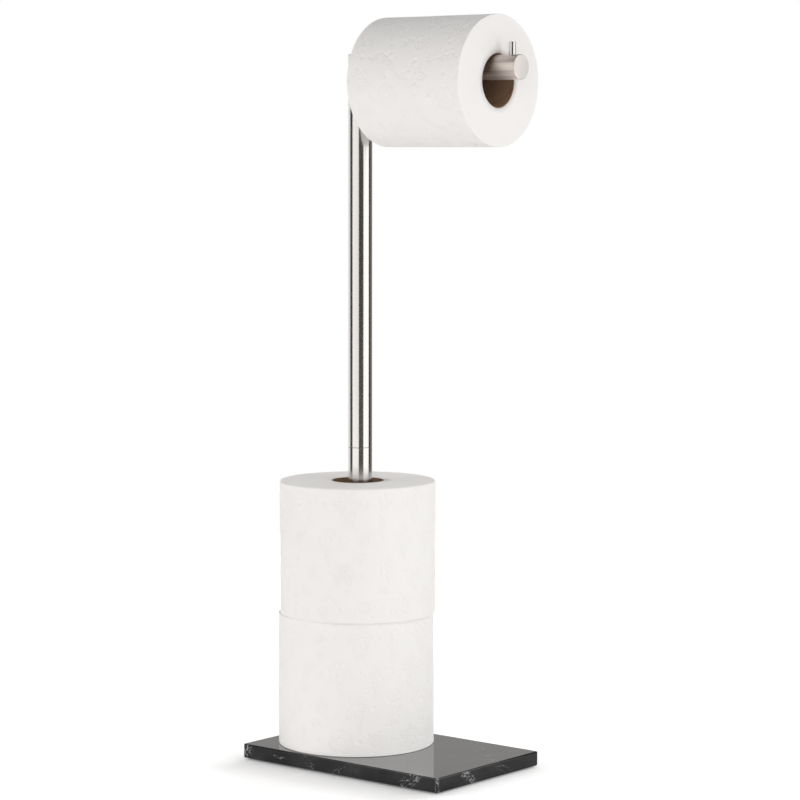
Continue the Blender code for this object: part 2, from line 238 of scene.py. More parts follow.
def make_stone_veins():
    """A net of hair-thin veins, drawn out along a patch, broken here and there, gone at its rim."""
    inputs = {
        "Vector": (VECTOR, (0, 0, 0)),
        "Centre": (VECTOR, (0, 0, 0)),
        "Turn": (VECTOR, (0, 0, 0)),
        "Reach": (VECTOR, (0.01, 0.01, 0.01)),
        "Cells": (FLOAT, 2.5),
        "Width": (FLOAT, 0.08),
        "Wander": (FLOAT, 0.5),
    }
    group, given, result = start_group("Stone veins", inputs, "Mask")
    local = calculate_vector(group, "SUBTRACT", given["Vector"], given["Centre"])
    turned = add(group, "ShaderNodeVectorRotate", {"Vector": local, "Rotation": given["Turn"]},
                 rotation_type="EULER_XYZ").outputs[0]
    scaled = calculate_vector(group, "DIVIDE", turned, given["Reach"])
    away = calculate_vector(group, "LENGTH", scaled)
    patch = remap(group, away, 0.35, 1.0, 1.0, 0.0, smooth=True)
    noise = add_noise(group, given["Vector"], VEIN_BEND_SCALE, 5.0)
    centred = calculate_vector(group, "SUBTRACT", noise["Color"], (0.5, 0.5, 0.5))
    push = add(group, "ShaderNodeVectorMath", {0: centred, "Scale": given["Wander"]},
               operation="SCALE").outputs[0]
    bent = calculate_vector(group, "ADD", scaled, push)
    cells = add(group, "ShaderNodeTexVoronoi", {"Vector": bent, "Scale": given["Cells"]},
                feature="DISTANCE_TO_EDGE")
    line = remap(group, cells.outputs["Distance"], 0.0, given["Width"], 1.0, 0.0, smooth=True)
    breaks = add_noise(group, given["Vector"], VEIN_BREAK_SCALE)
    kept = remap(group, breaks["Fac"], 0.42, 0.58, 0.12, 1.0, smooth=True)
    bounded = calculate(group, "MULTIPLY", line, patch)
    group.links.new(calculate(group, "MULTIPLY", bounded, kept), result)
    return group


STONE_VEINS = make_stone_veins()
print("made", STONE_VEINS.name)

# %% [markdown]
# ## Helpers for shapes
# Most pieces of this holder are round: tubes, cap, pin, feet, cores and rolls. Each could start
# from a cylinder, but a profile spun round its axis gives the walls, steps and rims at once.
# The sharp edges are then eased with a small bevel, because a real edge always catches a line of
# light. A finished piece is smooth, with its normals weighted towards the large flat faces.

# %% Shape helpers
ROUND_STEPS = 144
SMALL_STEPS = 64
FIT = 0.0003
HAIR = 1e-5


def spun(profile, steps, closed=False):
    """Spins a profile of (radius, height) points round Z, open at the axis or closed as a ring."""
    shape = bmesh.new()
    points = [shape.verts.new((radius, 0, height)) for radius, height in profile]
    lines = [shape.edges.new(pair) for pair in zip(points, points[1:])]
    if closed:
        lines.append(shape.edges.new((points[-1], points[0])))
    bmesh.ops.spin(shape, geom=points + lines, cent=(0, 0, 0), axis=(0, 0, 1),
                   angle=2 * math.pi, steps=steps, use_merge=True)
    bmesh.ops.remove_doubles(shape, verts=shape.verts, dist=1e-7)
    bmesh.ops.recalc_face_normals(shape, faces=shape.faces)
    return shape


def spun_disc(radius, bottom, top, steps):
    """A solid round disc or rod from one height to another."""
    return spun([(0, bottom), (radius, bottom), (radius, top), (0, top)], steps)


def ease(shape, width, segments=3, where=None):
    """Rounds the edges that turn by more than 50 degrees, everywhere or where a test says so."""
    limit = math.radians(50)
    sharp = [e for e in shape.edges if e.is_manifold and e.calc_face_angle() > limit]
    if where:
        sharp = [e for e in sharp if where((e.verts[0].co + e.verts[1].co) / 2)]
    bmesh.ops.bevel(shape, geom=sharp, offset=width, affect="EDGES", segments=segments,
                    profile=0.5, material=-1)


def make_object(name, shape, material):
    """Makes the object of a shape, with one material."""
    mesh = bpy.data.meshes.new(name)
    shape.to_mesh(mesh)
    shape.free()
    mesh.materials.append(material)
    return new_object(name, mesh)


def finish_piece(name, shape, place, body, material, stands_for):
    """Moves a shape to its place, makes it a smooth piece, ties it to its body, and hides its solid."""
    bmesh.ops.translate(shape, vec=place, verts=shape.verts)
    piece = make_object(name, shape, material)
    mesh = piece.data
    mesh.polygons.foreach_set("use_smooth", [True] * len(mesh.polygons))
    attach(piece, body)
    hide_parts(stands_for)
    print(name, len(mesh.vertices), "points")
    return piece


def weight_normals(piece):
    """Lets the flat faces stay flat in the shading, and the eased edges carry the turn."""
    modifier = piece.modifiers.new("Flat faces stay flat", "WEIGHTED_NORMAL")
    modifier.weight = 100
    modifier.keep_sharp = True


print("helpers for shapes ready")

# %% [markdown]
# ## Polished stone
# The slab is nearly black, with a mirror polish, a faint cloudy grain, and a few hair-thin pale
# veins that show best along its edges. A bitmap could hold them, but separate procedural veins can
# be set one by one where the real stone shows them, and they run on through the solid, over an
# edge and down its side, as in real stone. Each patch of veins has the slab's corner that it is
# placed from, its offset and turn, its reach along three axes, the number of cells in its net, the
# width of its lines and how far they wander.

# %% Stone material
slab_low, slab_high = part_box("base_slab")
slab_middle = (slab_low + slab_high) / 2
slab_size = slab_high - slab_low
front_right = Vector((slab_high.x, slab_low.y, slab_high.z))
rear_right = Vector((slab_low.x, slab_low.y, slab_high.z))
front_left = Vector((slab_high.x, slab_high.y, slab_high.z))

VEINS = [
    (front_right, (-0.026, 0, -0.0058), (0, 32, 0), (0.017, 0.012, 0.0058), 2.3, 0.10, 0.5),
    (front_right, (-0.0175, 0, -0.002), (0, 60, 0), (0.005, 0.008, 0.0028), 1.5, 0.17, 0.4),
    (front_right, (0, 0, -0.006), (0, 0, 0), (0.0030, 0.0035, 0.0115), 1.7, 0.16, 0.5),
    (front_right, (0, 0.038, -0.0062), (36, 0, 0), (0.010, 0.014, 0.0050), 2.2, 0.11, 0.6),
    (front_right, (0, 0.033, -0.0028), (0, 0, 0), (0.010, 0.0065, 0.0028), 1.5, 0.17, 0.5),
    (front_right, (0, 0.078, -0.0055), (22, 0, 0), (0.010, 0.014, 0.0035), 1.0, 0.030, 0.3),
    (rear_right, (0.037, 0, -0.0055), (0, -4, 0), (0.0085, 0.006, 0.0016), 1.2, 0.10, 0.4),
    (rear_right, (0.004, 0.001, -0.005), (0, 50, 0), (0.0085, 0.008, 0.0060), 2.0, 0.10, 0.5),
    (rear_right, (0.066, 0, -0.0065), (0, -50, 0), (0.013, 0.010, 0.0045), 1.3, 0.030, 0.4),
    (rear_right, (0.094, 0, -0.0080), (0, 30, 0), (0.012, 0.010, 0.0040), 1.2, 0.030, 0.4),
    (front_left, (-0.0607, 0, -0.0062), (0, 25, 0), (0.020, 0.010, 0.0065), 2.3, 0.09, 0.5),
    (rear_right, (0, 0.0805, -0.0062), (30, 0, 0), (0.010, 0.016, 0.0065), 2.2, 0.09, 0.5),
    (front_left, (-0.0257, -0.0305, 0), (0, 0, 35), (0.045, 0.009, 0.004), 1.1, 0.018, 0.3),
    (rear_right, (0.0173, 0.0255, 0), (0, 0, -50), (0.022, 0.008, 0.004), 1.2, 0.018, 0.3),
]
VEIN_COLOUR = (0.40, 0.405, 0.42, 1)
STONE_DARKER = (0.003, 0.003, 0.0034, 1)
STONE_LIGHTER = (0.026, 0.0256, 0.0258, 1)


def make_stone():
    """Near-black polished stone with cloudy grain and placed veins."""
    material, tree, shader = start_material("Polished black stone", IOR=1.5, Coat_Weight=0.45)
    where = object_place(tree)
    clouds = use_group(tree, SOFT_MOTTLING, Vector=where, Scale=55.0, Contrast=2.2)
    colour = mix_colours(tree, clouds, STONE_DARKER, STONE_LIGHTER)
    masks = [
        use_group(tree, STONE_VEINS, Vector=where, Centre=corner + Vector(offset),
                  Turn=[math.radians(angle) for angle in turn], Reach=reach, Cells=cells,
                  Width=width, Wander=wander)
        for corner, offset, turn, reach, cells, width, wander in VEINS
    ]
    veined = masks[0]
    for mask in masks[1:]:
        veined = calculate(tree, "MAXIMUM", veined, mask)
    colour = mix_colours(tree, veined, colour, VEIN_COLOUR)
    tree.links.new(colour, shader.inputs["Base Color"])
    tree.links.new(remap(tree, clouds, to_low=0.06, to_high=0.12), shader.inputs["Roughness"])
    return material


STONE = make_stone()
print("made", STONE.name, "with", len(VEINS), "patches of veins")

# %% [markdown]
# ## The slab
# A rectangular slab with finely eased edges. It is a cube stretched to the solid's size, whose
# edges get a narrow bevel of four faces. Underneath it has the screw's stepped hole and the
# recesses of the feet, which are cut out with spun cutters.

# %% Slab piece
SLAB_EDGE = 0.0010
COUNTERBORE_GAP = 0.001
SHANK_HOLE = 0.0033
OVERRUN = 0.002
FEET = ["foot_rear_left", "foot_rear_right", "foot_front_left", "foot_front_right"]

shape = bmesh.new()
bmesh.ops.create_cube(shape, size=1)
bmesh.ops.scale(shape, vec=slab_size, verts=shape.verts)
ease(shape, SLAB_EDGE, segments=4)
slab = finish_piece("stone_slab", shape, slab_middle, "stand", STONE, "base_slab")


def cut_round(piece, profile, place):
    """Cuts a spun shape out of a piece, and keeps the result as the piece's own mesh."""
    cutter_mesh = bpy.data.meshes.new("cutter")
    cutter_shape = spun(profile, SMALL_STEPS)
    bmesh.ops.translate(cutter_shape, vec=place, verts=cutter_shape.verts)
    cutter_shape.to_mesh(cutter_mesh)
    cutter_shape.free()
    cutter = new_object("cutter", cutter_mesh)
    modifier = piece.modifiers.new("Cut", "BOOLEAN")
    modifier.object = cutter
    modifier.operation = "DIFFERENCE"
    modifier.solver = "EXACT"
    evaluated = piece.evaluated_get(bpy.context.evaluated_depsgraph_get())
    result = bpy.data.meshes.new_from_object(evaluated)
    piece.modifiers.clear()
    piece.data = result
    result.name = piece.name
    bpy.data.objects.remove(cutter)


washer_low, washer_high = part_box("base_washer")
screw_middle = (washer_low + washer_high) / 2
counterbore = (washer_high.x - washer_low.x) / 2 + COUNTERBORE_GAP
roof = washer_high.z + FIT
below = slab_low.z - OVERRUN
above = slab_high.z + OVERRUN
cut_round(
    slab,
    [(0, below), (counterbore, below), (counterbore, roof), (SHANK_HOLE, roof), (SHANK_HOLE, above),
     (0, above)],
    (screw_middle.x, screw_middle.y, 0),
)
for name in FEET:
    low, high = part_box(name)
    middle = (low + high) / 2
    recess = (high.x - low.x) / 2 + FIT
    cut_round(slab, [(0, below), (recess, below), (recess, high.z + FIT), (0, high.z + FIT)],
              (middle.x, middle.y, 0))
weight_normals(slab)
print("slab", [round(1000 * v, 1) for v in slab_size], "mm,", len(slab.data.polygons), "faces")

# %% [markdown]
# ## Rubber feet
# Four thin round pads keep the stone off the floor. They only show as a dark line of shadow, but
# from below they are plain moulded discs, so each is a spun disc with rounded rims in matt rubber.

# %% Rubber material and feet
PAD_EDGE = 0.0004
RUBBER_DARKER = (0.018, 0.018, 0.019, 1)
RUBBER_LIGHTER = (0.040, 0.040, 0.041, 1)


def make_rubber():
    """Matt black rubber with a faint cloudy bloom and a fine moulded grain."""
    material, tree, shader = start_material("Moulded rubber", Roughness=0.75, IOR=1.45)
    where = object_place(tree)
    bloom = use_group(tree, SOFT_MOTTLING, Vector=where, Scale=240.0, Contrast=1.5)
    colour = mix_colours(tree, bloom, RUBBER_DARKER, RUBBER_LIGHTER)
    tree.links.new(colour, shader.inputs["Base Color"])
    add_bump(tree, shader, add_noise(tree, where, 2600.0)["Fac"], 0.3, 0.0001)
    return material


RUBBER = make_rubber()
for name in FEET:
    low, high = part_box(name)
    middle = (low + high) / 2
    shape = spun_disc((high.x - low.x) / 2, low.z, high.z, SMALL_STEPS)
    ease(shape, PAD_EDGE)
    foot = finish_piece("pad_" + name, shape, (middle.x, middle.y, 0), "stand", RUBBER, name)
    weight_normals(foot)

# %% [markdown]
# ## Satin-polished steel
# The post, arm and pin are ground steel. Their brushing runs round the post and round the arm,
# and is so fine that reflections stay crisp, only drawn out a little along the tube. Four things
# make it: a metallic shader, a low roughness that varies slightly, very shallow grooves of noise
# stretched round the tube, and faint streaks of tone along it. The directions are values, so that
# one function serves the upright tubes, the level arm and the pin.

# %% Steel material
STEEL_DARKER = (0.610, 0.595, 0.584, 1)
STEEL_LIGHTER = (0.700, 0.684, 0.671, 1)
GROOVE_STRENGTH = 0.01
UPRIGHT_STREAKS = (150, 150, 3)
LEVEL_STREAKS = (9, 420, 420)


def make_steel(name, scales, roughness, stretch, groove_depth, streaks):
    """Ground steel: reflections are drawn out along the map named Length, across the grooves."""
    material, tree, shader = start_material(name, Metallic=1.0, Anisotropic=stretch)
    where = object_place(tree)
    along = add(tree, "ShaderNodeTangent", direction_type="UV_MAP", uv_map="Length")
    tree.links.new(along.outputs[0], shader.inputs["Tangent"])
    grooves = use_group(tree, STRETCHED_GRAIN, Vector=where, Scales=scales, Detail=3.0)
    smears = use_group(tree, STRETCHED_GRAIN, Vector=where, Scales=streaks, Detail=2.0)
    colour = mix_colours(tree, remap(tree, smears, 0.36, 0.64), STEEL_DARKER, STEEL_LIGHTER)
    tree.links.new(colour, shader.inputs["Base Color"])
    wear = remap(tree, smears, to_low=roughness * 0.90, to_high=roughness * 1.10)
    tree.links.new(wear, shader.inputs["Roughness"])
    add_bump(tree, shader, grooves, GROOVE_STRENGTH, groove_depth)
    return material


UPRIGHT_STEEL = make_steel("Steel brushed round the post", (14, 14, 5200), 0.18, 0.60, 0.00002,
                           UPRIGHT_STREAKS)
LEVEL_STEEL = make_steel("Steel brushed round the arm", (5200, 14, 14), 0.31, 0.95, 0.00003,
                         LEVEL_STREAKS)
PIN_STEEL = make_steel("Steel of the pin", (30, 30, 7000), 0.16, 0.5, 0.00001, UPRIGHT_STREAKS)
print("made", UPRIGHT_STEEL.name, "and", LEVEL_STEEL.name)

# %% [markdown]
# ## A map round a piece
# Brushing, fibres and wound layers follow a round piece's surface. A map in metres says how far
# round it a point is, and how far along it, or outwards on its flat ends. It could be unwrapped
# by hand, but a piece that was spun round a known axis gives both numbers at once.

# %% Map round a piece
def read_all(items, field, kind, width=1):
    """Reads one field of every item into an array."""
    values = np.empty(len(items) * width, dtype=kind)
    items.foreach_get(field, values)
    return values


def map_round(piece, name, middle, along_axis, radius, length_first=False):
    """Writes a UV map in metres: round a piece's axis, and along it or outwards on its ends."""
    mesh = piece.data
    points = read_all(mesh.vertices, "co", float, 3).reshape(-1, 3) - np.array(middle)
    if along_axis == "X":
        side, up, along = points[:, 1], points[:, 2], points[:, 0]
    else:
        side, up, along = points[:, 0], points[:, 1], points[:, 2]
    share = np.arctan2(up, side) / (2 * math.pi) % 1
    corners = read_all(mesh.loops, "vertex_index", np.int32)
    firsts = read_all(mesh.polygons, "loop_start", np.int32)
    totals = read_all(mesh.polygons, "loop_total", np.int32)
    face_of = np.repeat(np.arange(len(firsts)), totals)
    corner_share = share[corners]
    highest = np.maximum.reduceat(corner_share, firsts)[face_of]
    corner_share = np.where(highest - corner_share > 0.5, corner_share + 1, corner_share)
    second = (along + np.hypot(side, up))[corners]
    values = [corner_share * 2 * math.pi * radius, second]
    if length_first:
        values.reverse()
    mesh.uv_layers.new(name=name).data.foreach_set("uv", np.column_stack(values).ravel())


print("map for round pieces ready")

# %% [markdown]
# ## Plated hardware
# What sits inside the tubes only shows when the post's upper half is lifted off: the spigot is a
# turned steel part with a thin plating, duller and bluer than the tubes. The inner parts whose
# solids are right as they are keep them, and only get this finish, or the rubber of the feet.

# %% Hardware material
PLATING_DARKER = (0.50, 0.51, 0.53, 1)
PLATING_LIGHTER = (0.58, 0.59, 0.61, 1)


def make_hardware():
    """Turned and plated steel, with a duller sheen and fine tool marks."""
    material, tree, shader = start_material("Plated hardware", Metallic=1.0)
    where = object_place(tree)
    marks = use_group(tree, STRETCHED_GRAIN, Vector=where, Scales=(60, 60, 3600), Detail=2.0)
    clouds = use_group(tree, SOFT_MOTTLING, Vector=where, Scale=130.0, Contrast=1.6)
    colour = mix_colours(tree, clouds, PLATING_DARKER, PLATING_LIGHTER)
    tree.links.new(colour, shader.inputs["Base Color"])
    tree.links.new(remap(tree, clouds, to_low=0.26, to_high=0.38), shader.inputs["Roughness"])
    add_bump(tree, shader, marks, 0.4, 0.00004)
    return material


HARDWARE = make_hardware()
KEPT_SOLIDS = ["base_screw", "base_washer", "post_foot_plug", "post_socket", "arm_stud",
               "arm_rear_plug", "post_gasket"]
for name in KEPT_SOLIDS:
    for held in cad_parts[name].material_slots:
        held.material = RUBBER if name == "post_gasket" else HARDWARE
print("kept", len(KEPT_SOLIDS), "solids with new materials")

# %% [markdown]
# ## The post
# Two lengths of the same tube meet in a hairline seam above the spare rolls. Each is a closed
# ring profile, inside wall and outside wall, spun round the post's axis. The ends get a very fine
# rounding, so that the seam reads as one thin line.

# %% Post tubes
low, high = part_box("lower_post_tube")
upper_low, upper_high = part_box("upper_post_tube")
post_place = ((low.x + high.x) / 2, (low.y + high.y) / 2, 0)
post_x = post_place[0]
post_radius = (high.x - low.x) / 2
seam_z = high.z
TUBE_WALL = 0.001
SEAM_ROUNDING = 0.00006


def make_tube(name, bottom, top, body, stands_for):
    """One length of the post's tube, with its end edges eased."""
    inside = post_radius - TUBE_WALL
    profile = [(inside, bottom), (post_radius, bottom), (post_radius, top), (inside, top)]
    shape = spun(profile, ROUND_STEPS, closed=True)
    ease(shape, SEAM_ROUNDING)
    piece = finish_piece(name, shape, post_place, body, UPRIGHT_STEEL, stands_for)
    map_round(piece, "Length", post_place, "Z", post_radius, length_first=True)
    weight_normals(piece)


make_tube("post_lower_half", low.z, seam_z, "stand", "lower_post_tube")
make_tube("post_upper_half", upper_low.z, upper_high.z, "upper_post", "upper_post_tube")
print("seam gap", round(1000 * (upper_low.z - seam_z), 2), "mm")

# %% [markdown]
# ## The spigot
# A round plug fills the lower tube's end, and a thinner stem with one flat stands out of it, so
# that the upper half goes on in one direction only. The stem starts round and is cut flat with a
# plane, which is how the real one is milled.

# %% Spigot piece
spigot_low, spigot_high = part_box("post_spigot")
plug_radius = (spigot_high.x - spigot_low.x) / 2
plug_top = seam_z - 0.0004
STEM_RADIUS = 0.006
STEM_FLAT = STEM_RADIUS * 0.72
STEM_DEPTH = 0.002
STEM_CHAMFER = 0.0009
PLUG_CHAMFER = 0.0004

stem_shape = spun_disc(STEM_RADIUS, seam_z - STEM_DEPTH, spigot_high.z, ROUND_STEPS)
everything = list(stem_shape.verts) + list(stem_shape.edges) + list(stem_shape.faces)
cut = bmesh.ops.bisect_plane(stem_shape, geom=everything, plane_co=(-STEM_FLAT, 0, 0),
                             plane_no=(-1, 0, 0), clear_outer=True)
rim = [e for e in cut["geom_cut"] if isinstance(e, bmesh.types.BMEdge)]
bmesh.ops.contextual_create(stem_shape, geom=rim)
bmesh.ops.recalc_face_normals(stem_shape, faces=stem_shape.faces)
ease(stem_shape, STEM_CHAMFER, where=lambda co: co.z > spigot_high.z - HAIR)
plug_shape = spun_disc(plug_radius, spigot_low.z, plug_top, ROUND_STEPS)
ease(plug_shape, PLUG_CHAMFER)
for name, shape in (("spigot_stem", stem_shape), ("spigot_plug", plug_shape)):
    part = finish_piece(name, shape, post_place, "stand", HARDWARE, "post_spigot")
    weight_normals(part)

# %% [markdown]
# ## The post's cap
# The post ends in a thin flat disc, a hairline above the tube, on a plug that reaches down into it.
# Its profile is a T turned on its side, spun round, with a small chamfer on the disc's rims.

# %% Cap piece
cap_low, cap_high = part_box("post_top_plug")
cap_bottom = upper_high.z + FIT
plug_inside = post_radius - TUBE_WALL - FIT
CAP_EDGE = 0.0005
shape = spun(
    [(0, cap_low.z), (plug_inside, cap_low.z), (plug_inside, cap_bottom), (post_radius, cap_bottom),
     (post_radius, cap_high.z), (0, cap_high.z)],
    ROUND_STEPS,
)
ease(shape, CAP_EDGE, where=lambda co: co.z > cap_high.z - HAIR)
cap = finish_piece("post_cap", shape, post_place, "upper_post", UPRIGHT_STEEL, "post_top_plug")
map_round(cap, "Length", post_place, "Z", post_radius, length_first=True)
weight_normals(cap)
print("cap", round(1000 * (cap_high.z - cap_bottom), 2), "mm thick")

# %% [markdown]
# ## The arm
# The arm is the same tube, closed by a flat nose. Its rear end is coped, which means that it is
# cut to the curve of the post, so that the two meet without a gap. A spun solid gets this end by
# sliding each point of its rear face along the arm until it lies just under the post's surface.

# %% Arm piece
arm_low, arm_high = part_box("roll_arm")
arm_radius = (arm_high.z - arm_low.z) / 2
arm_place = (post_x, post_place[1], (arm_high.z + arm_low.z) / 2)
arm_length = arm_high.x - post_x - HAIR
NOSE_EDGE = 0.0006
REAR_LENGTH = 0.02
REAR_RINGS = 6
REAR_OVERLAP = 0.0002

profile = [(0, 0)] + [(arm_radius, REAR_LENGTH * k / REAR_RINGS) for k in range(REAR_RINGS + 1)]
profile += [(arm_radius, arm_length), (0, arm_length)]
shape = spun(profile, ROUND_STEPS)
ease(shape, NOSE_EDGE, segments=4, where=lambda co: co.z > arm_length - HAIR)
for vert in shape.verts:
    if vert.co.z < 1e-6:
        away = min(abs(vert.co.y), post_radius)
        vert.co.z = math.sqrt(post_radius ** 2 - away ** 2) - REAR_OVERLAP
bmesh.ops.rotate(shape, cent=(0, 0, 0), matrix=Matrix.Rotation(math.radians(90), 3, "Y"),
                 verts=shape.verts)
arm = finish_piece("level_arm", shape, arm_place, "upper_post", LEVEL_STEEL, "roll_arm")
map_round(arm, "Length", arm_place, "X", arm_radius, length_first=True)
weight_normals(arm)
print("arm reaches", round(1000 * arm_length, 1), "mm from the post's axis")

# %% [markdown]
# ## Painted reflections along the arm
# The arm shows broad bands of unequal brightness along it, and its flat nose is even. The hanging
# roll fills most of what the arm mirrors, so reflections alone would leave it plain, and the bands
# are painted reflections, multiplied into the steel's colour with a warm tint. A colour ramp over
# the arm's height gives them soft borders, and the length of the arm says where the nose begins.

# %% Arm painted reflections
ARM_PAINTED_REFLECTIONS = [(0.0, 1.28), (0.18, 1.24), (0.26, 0.92), (0.33, 0.81),
             (0.39, 1.24), (0.63, 1.20), (0.71, 0.81), (0.80, 1.12)]
ARM_PAINTED_REFLECTION_TINT = (1, 0.92, 0.86)
NOSE_DARKER = (0.640, 0.612, 0.595, 1)
NOSE_LIGHTER = (0.668, 0.639, 0.622, 1)
NOSE_BEGINS = 0.0004
NOSE_FULL = 0.0002

tree = LEVEL_STEEL.node_tree
base_colour = tree.nodes["Principled BSDF"].inputs["Base Color"]
ground = base_colour.links[0].from_socket
where = object_place(tree)
parts = add(tree, "ShaderNodeSeparateXYZ", {0: where}).outputs
ramp = add(tree, "ShaderNodeValToRGB", {"Fac": remap(tree, parts["Z"], arm_low.z, arm_high.z)})
stops = ramp.color_ramp.elements
while len(stops) < len(ARM_PAINTED_REFLECTIONS):
    stops.new(0.5)
for stop, (place, brightness) in zip(stops, ARM_PAINTED_REFLECTIONS):
    stop.position = place
    stop.color = [brightness * share for share in ARM_PAINTED_REFLECTION_TINT] + [1]
# Painted reflection: the ramp's bright and dark bands lighten and darken the steel's own colour.
painted_reflection_colour = mix_colours(tree, 1.0, ground, ramp.outputs["Color"], blend="MULTIPLY")
on_nose = remap(tree, parts["X"], arm_high.x - NOSE_BEGINS, arm_high.x - NOSE_FULL)
clouds = use_group(tree, SOFT_MOTTLING, Vector=where, Scale=300.0, Contrast=1.5)
faced = mix_colours(tree, clouds, NOSE_DARKER, NOSE_LIGHTER)
tree.links.new(mix_colours(tree, on_nose, painted_reflection_colour, faced), base_colour)
print("arm with", len(ARM_PAINTED_REFLECTIONS), "stops of painted reflection")

# %% [markdown]
# ## The stop pin
# A short polished pin stands on the arm near its nose and keeps the roll from sliding off.

# %% Pin piece
pin_low, pin_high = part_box("stop_pin")
pin_place = ((pin_low.x + pin_high.x) / 2, (pin_low.y + pin_high.y) / 2, 0)
pin_radius = (pin_high.x - pin_low.x) / 2
PIN_EDGE = 0.0004
shape = spun_disc(pin_radius, pin_low.z, pin_high.z, SMALL_STEPS)
ease(shape, PIN_EDGE)
pin = finish_piece("round_pin", shape, pin_place, "upper_post", PIN_STEEL, "stop_pin")
map_round(pin, "Length", pin_place, "Z", pin_radius, length_first=True)
weight_normals(pin)

# %% [markdown]
# ## Cardboard
# A core is wound from strips of grey-brown board, so a spiral seam runs along it, and its cut ends
# show pale, rough fibres. The seam could be a modelled groove, but it is thinner than a hair, so it
# is a line in the material. It follows the core's own UV map, which runs once round the tube.

# %% Cardboard material
STRIP_WIDTH = 0.0363
STRIP_ANGLE = -38
BOARD_DARKER = (0.160, 0.088, 0.050, 1)
BOARD_LIGHTER = (0.225, 0.134, 0.079, 1)
FIBRE_COLOUR = (0.25, 0.158, 0.100, 1)
SEAM_COLOUR = (0.15, 0.086, 0.051, 1)


def make_cardboard():
    """Wound board with fibres, flecks and a spiral seam, read from the map named Wrap."""
    material, tree, shader = start_material("Core board", Roughness=0.88, IOR=1.4)
    wrap = add(tree, "ShaderNodeUVMap", uv_map="Wrap").outputs["UV"]
    clouds = use_group(tree, SOFT_MOTTLING, Vector=object_place(tree), Scale=90.0, Contrast=1.8)
    turn = (0, 0, math.radians(STRIP_ANGLE))
    turned = add(tree, "ShaderNodeMapping", {"Vector": wrap, "Rotation": turn}).outputs[0]
    fibres = use_group(tree, STRETCHED_GRAIN, Vector=turned, Scales=(260, 2600, 1), Detail=3.0)
    strips = add(tree, "ShaderNodeSeparateXYZ", {0: turned})
    pitch = calculate(tree, "MULTIPLY", strips.outputs["Y"], 1 / STRIP_WIDTH)
    centred = calculate(tree, "SUBTRACT", calculate(tree, "FRACT", pitch), 0.5)
    seam = remap(tree, calculate(tree, "ABSOLUTE", centred), 0.004, 0.014, 1.0, 0.0)
    colour = mix_colours(tree, clouds, BOARD_DARKER, BOARD_LIGHTER)
    colour = mix_colours(tree, fibres, colour, FIBRE_COLOUR)
    colour = mix_colours(tree, seam, colour, SEAM_COLOUR)
    tree.links.new(colour, shader.inputs["Base Color"])
    add_bump(tree, shader, calculate(tree, "MULTIPLY_ADD", seam, -1.2, fibres), 0.6, 0.0001)
    return material


CARDBOARD = make_cardboard()
print("made", CARDBOARD.name)

# %% [markdown]
# ## Tissue
# The paper is off-white and matt, with a fine crepe, and pressed motifs whose grooves carry a little
# painted shade. The crepe and the thin rings of the wound layers on a roll's ends come from one
# stretched noise on the UV map: on the side its fine wrinkles are drawn out round the roll, and on
# the ends, where the map's second axis runs outwards, its lines run round too, but closer.

# %% Tissue material
PAPER_DARKER = (0.890, 0.866, 0.846, 1)
PAPER_LIGHTER = (0.905, 0.882, 0.862, 1)
GROOVE_PAINTED_SHADE_COLOUR = (0.74, 0.725, 0.70, 1)
GROOVE_PAINTED_SHADE = 0.02


def make_tissue():
    """Soft wound paper: crepe on the side, layers on the ends, and painted shade in pressed grooves."""
    material, tree, shader = start_material(
        "Soft tissue", Roughness=0.95, IOR=1.25, Sheen_Weight=0.05, Sheen_Roughness=0.6
    )
    wrap = add(tree, "ShaderNodeUVMap", uv_map="Wrap").outputs["UV"]
    pressed = add(tree, "ShaderNodeAttribute", attribute_name="pressed").outputs["Fac"]
    at_end = add(tree, "ShaderNodeAttribute", attribute_name="at_end").outputs["Fac"]
    clouds = use_group(tree, SOFT_MOTTLING, Vector=object_place(tree), Scale=26.0, Contrast=1.4)
    crepe = use_group(tree, STRETCHED_GRAIN, Vector=wrap, Scales=(180, 1000, 1), Detail=4.0)
    layers = use_group(tree, STRETCHED_GRAIN, Vector=wrap, Scales=(40, 3800, 1), Detail=3.0)
    colour = mix_colours(tree, clouds, PAPER_DARKER, PAPER_LIGHTER)
    # Painted shade: the deeper the pressing, the darker the colour in the groove.
    groove_painted_shade = calculate(tree, "MULTIPLY", pressed, GROOVE_PAINTED_SHADE)
    colour = mix_colours(tree, groove_painted_shade, colour, GROOVE_PAINTED_SHADE_COLOUR)
    tree.links.new(colour, shader.inputs["Base Color"])
    add_bump(tree, shader, mix_values(tree, at_end, crepe, layers), 0.45, 0.00010)
    return material


TISSUE = make_tissue()
print("made", TISSUE.name)

# %% [markdown]
# ## The pressed motifs
# The paper is embossed: steel rollers press lines about a millimetre wide into it. Each motif is
# drawn by a small function that says how far a point is from its lines, in shares of its size.
# Pointed flowers, lobed flowers, rings with dots, and sprigs stand in staggered rows. Drawing them
# as depth over the unrolled paper lets the mesh itself sink, so the relief holds from every side.

# %% Motif strokes
LINE_WIDTH = 0.00050


def stroke(distance):
    """1 on a line, falling softly to 0 beside it."""
    return np.exp(-((distance / LINE_WIDTH) ** 2))


def pointed_flower(x, y, size, petals):
    """Petals that are pointed at both ends, each with a short rib, round a small ring."""
    reach = np.hypot(x, y)
    sector = 2 * math.pi / petals
    turn = (np.arctan2(y, x) + sector / 2) % sector - sector / 2
    along = (reach * np.cos(turn) - 0.26 * size) / (0.74 * size)
    across = np.abs(reach * np.sin(turn))
    lens = 0.25 * size * np.sin(math.pi * np.clip(along, 0, 1) ** 0.8)
    outline = stroke(across - lens) * ((along > 0) & (along < 1))
    rib = stroke(across) * ((along > 0.18) & (along < 0.62))
    return np.maximum.reduce([outline, rib, stroke(reach - 0.17 * size)])


